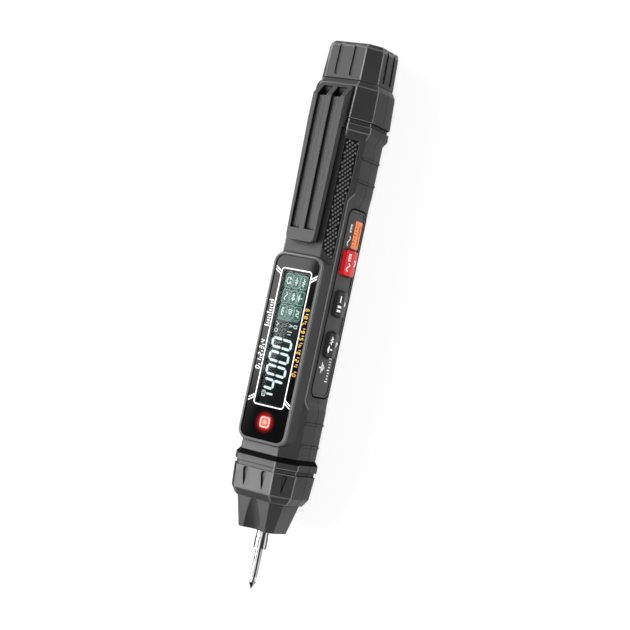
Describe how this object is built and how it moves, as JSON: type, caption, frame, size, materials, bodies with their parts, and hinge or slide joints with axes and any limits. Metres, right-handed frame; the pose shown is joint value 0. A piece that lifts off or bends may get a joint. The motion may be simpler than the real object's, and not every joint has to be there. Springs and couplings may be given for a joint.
{
  "type": "pen multimeter",
  "caption": "Pen-shaped multimeter with a needle probe, a display window, side buttons, a pocket clip, a pull-off tail cap and a back door over its cells.",
  "frame": {"origin": "centre of the bounding box in X and Y, on the plane that the two raised rings rest on when the pen lies on its back", "axes": "+Y from the probe tip to the tail cap along the pen, +Z out of the display side, +X out of the side that carries the buttons"},
  "size_m": [0.0272, 0.2022, 0.0322],
  "materials": {
    "housing_plastic": "fine satin",
    "grip_plastic": "knurled matt",
    "plate_plastic": "satin",
    "power_key": "soft gloss",
    "black_key": "soft gloss",
    "window_gloss": "high gloss",
    "lens_red": "gloss",
    "panel_glass": "clear",
    "white_plastic": "satin",
    "strip_rubber": "matt",
    "circuit_board": "solder mask",
    "black_plastic": "matt",
    "contact_brass": "bright",
    "probe_metal": "polished",
    "steel": "zinc plated",
    "cell_jacket": "film jacket"
  },
  "bodies": {
    "housing": {"front_shell": "housing_plastic", "rear_shell": "housing_plastic", "nose_cone": "housing_plastic", "clip_root": "housing_plastic", "grip_pad_right": "grip_plastic", "grip_pad_left": "grip_plastic", "side_plate": "plate_plastic", "display_window": "window_gloss", "indicator_lens": "lens_red", "lcd_panel": "panel_glass", "backlight": "white_plastic", "lcd_frame": "white_plastic", "contact_strips": "strip_rubber", "main_board": "circuit_board", "measuring_chip": "black_plastic", "circuit_parts": "black_plastic", "indicator_led": "lens_red", "button_board": "circuit_board", "tact_switches": "steel", "buzzer": "black_plastic", "sensing_antenna": "contact_brass", "probe_sleeve": "probe_metal", "probe_needle": "probe_metal", "probe_contact": "contact_brass", "com_socket": "probe_metal", "socket_terminal": "contact_brass", "battery_cell_tail": "cell_jacket", "battery_cell_tip": "cell_jacket", "tail_contact": "steel", "battery_spring": "steel", "shell_screws": "steel"},
    "clip": {"clip_arm": "housing_plastic"},
    "cap": {"tail_cap": "housing_plastic"},
    "door": {"battery_door": "housing_plastic"},
    "power_key": {"power_button": "power_key"},
    "hold_key": {"hold_button": "black_key"},
    "sense_key": {"sense_button": "black_key"}
  },
  "joints": [
    {"name": "clip_bend", "type": "hinge", "parent": "housing", "child": "clip", "pos_m": [0, 0.06915, 0.0309], "axis": [-1, 0, 0], "range_deg": [0, 4.5], "stiffness_Nm_per_rad": 3},
    {"name": "cap_pull", "type": "slide", "parent": "housing", "child": "cap", "axis": [0, 1, 0], "range_m": [0, 0.015]},
    {"name": "door_slide", "type": "slide", "parent": "housing", "child": "door", "axis": [0, -1, 0], "range_m": [0, 0.006]},
    {"name": "power_press", "type": "slide", "parent": "housing", "child": "power_key", "axis": [-1, 0, 0], "range_m": [0, 0.0005], "stiffness_N_per_m": 800},
    {"name": "hold_press", "type": "slide", "parent": "housing", "child": "hold_key", "axis": [-1, 0, 0], "range_m": [0, 0.0005], "stiffness_N_per_m": 800},
    {"name": "sense_press", "type": "slide", "parent": "housing", "child": "sense_key", "axis": [-1, 0, 0], "range_m": [0, 0.0005], "stiffness_N_per_m": 800}
  ]
}
